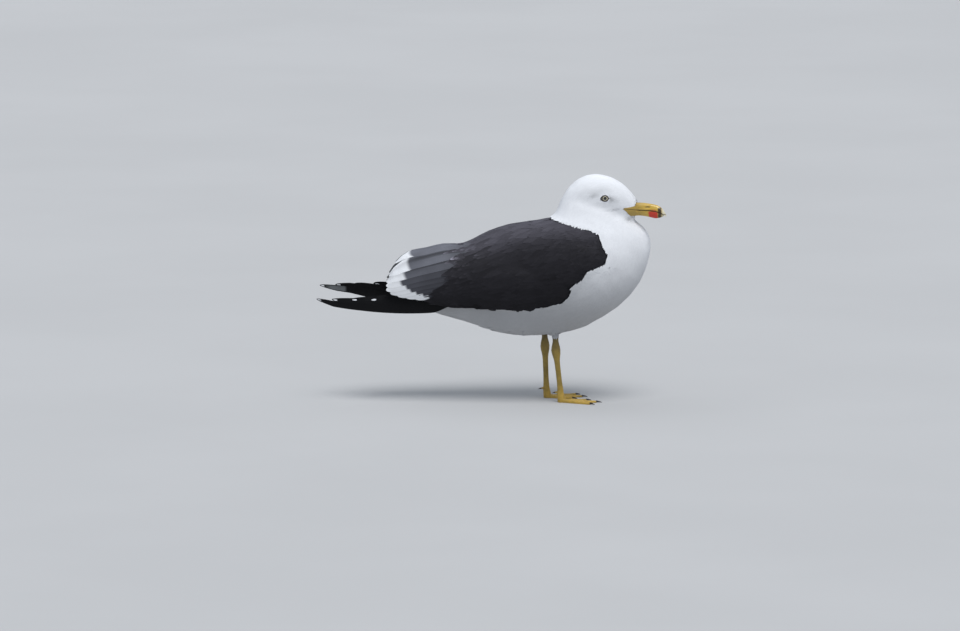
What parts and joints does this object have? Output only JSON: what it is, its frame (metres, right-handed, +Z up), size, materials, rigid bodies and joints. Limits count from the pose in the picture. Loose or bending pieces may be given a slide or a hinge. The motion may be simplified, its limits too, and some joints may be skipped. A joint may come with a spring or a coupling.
{
  "type": "lesser black-backed gull",
  "caption": "Life-size adult lesser black-backed gull standing at rest, head turned a little to its right, wings folded over the tail; a still model in separate named parts.",
  "frame": {"origin": "on the floor, under the middle of the bird's length and width", "axes": "+X forward, towards the bill; +Y to the bird's left; +Z up"},
  "size_m": [0.4954, 0.1346, 0.3241],
  "materials": {
    "body_white": "matte",
    "plumage_white": "matte",
    "plumage_slate": "matte",
    "plumage_black": "satin",
    "bill_horn": "satin",
    "leg_skin": "satin",
    "eye": "polished",
    "claw_horn": "satin"
  },
  "bodies": {
    "root": {"head": "body_white", "neck": "body_white", "trunk": "body_white", "rump": "plumage_white", "tail": "plumage_white", "mantle": "plumage_slate", "wing_left_coverts": "plumage_slate", "wing_left_tertials": "plumage_slate", "wing_left_primaries": "plumage_black", "shank_left": "leg_skin", "tarsus_left": "leg_skin", "foot_left": "leg_skin", "eye_left": "eye", "claw_left_inner": "claw_horn", "claw_left_middle": "claw_horn", "claw_left_outer": "claw_horn", "claw_left_hind": "claw_horn", "wing_right_coverts": "plumage_slate", "wing_right_tertials": "plumage_slate", "wing_right_primaries": "plumage_black", "shank_right": "leg_skin", "tarsus_right": "leg_skin", "foot_right": "leg_skin", "eye_right": "eye", "claw_right_inner": "claw_horn", "claw_right_middle": "claw_horn", "claw_right_outer": "claw_horn", "claw_right_hind": "claw_horn", "bill_upper": "bill_horn", "bill_lower": "bill_horn"}
  },
  "joints": []
}
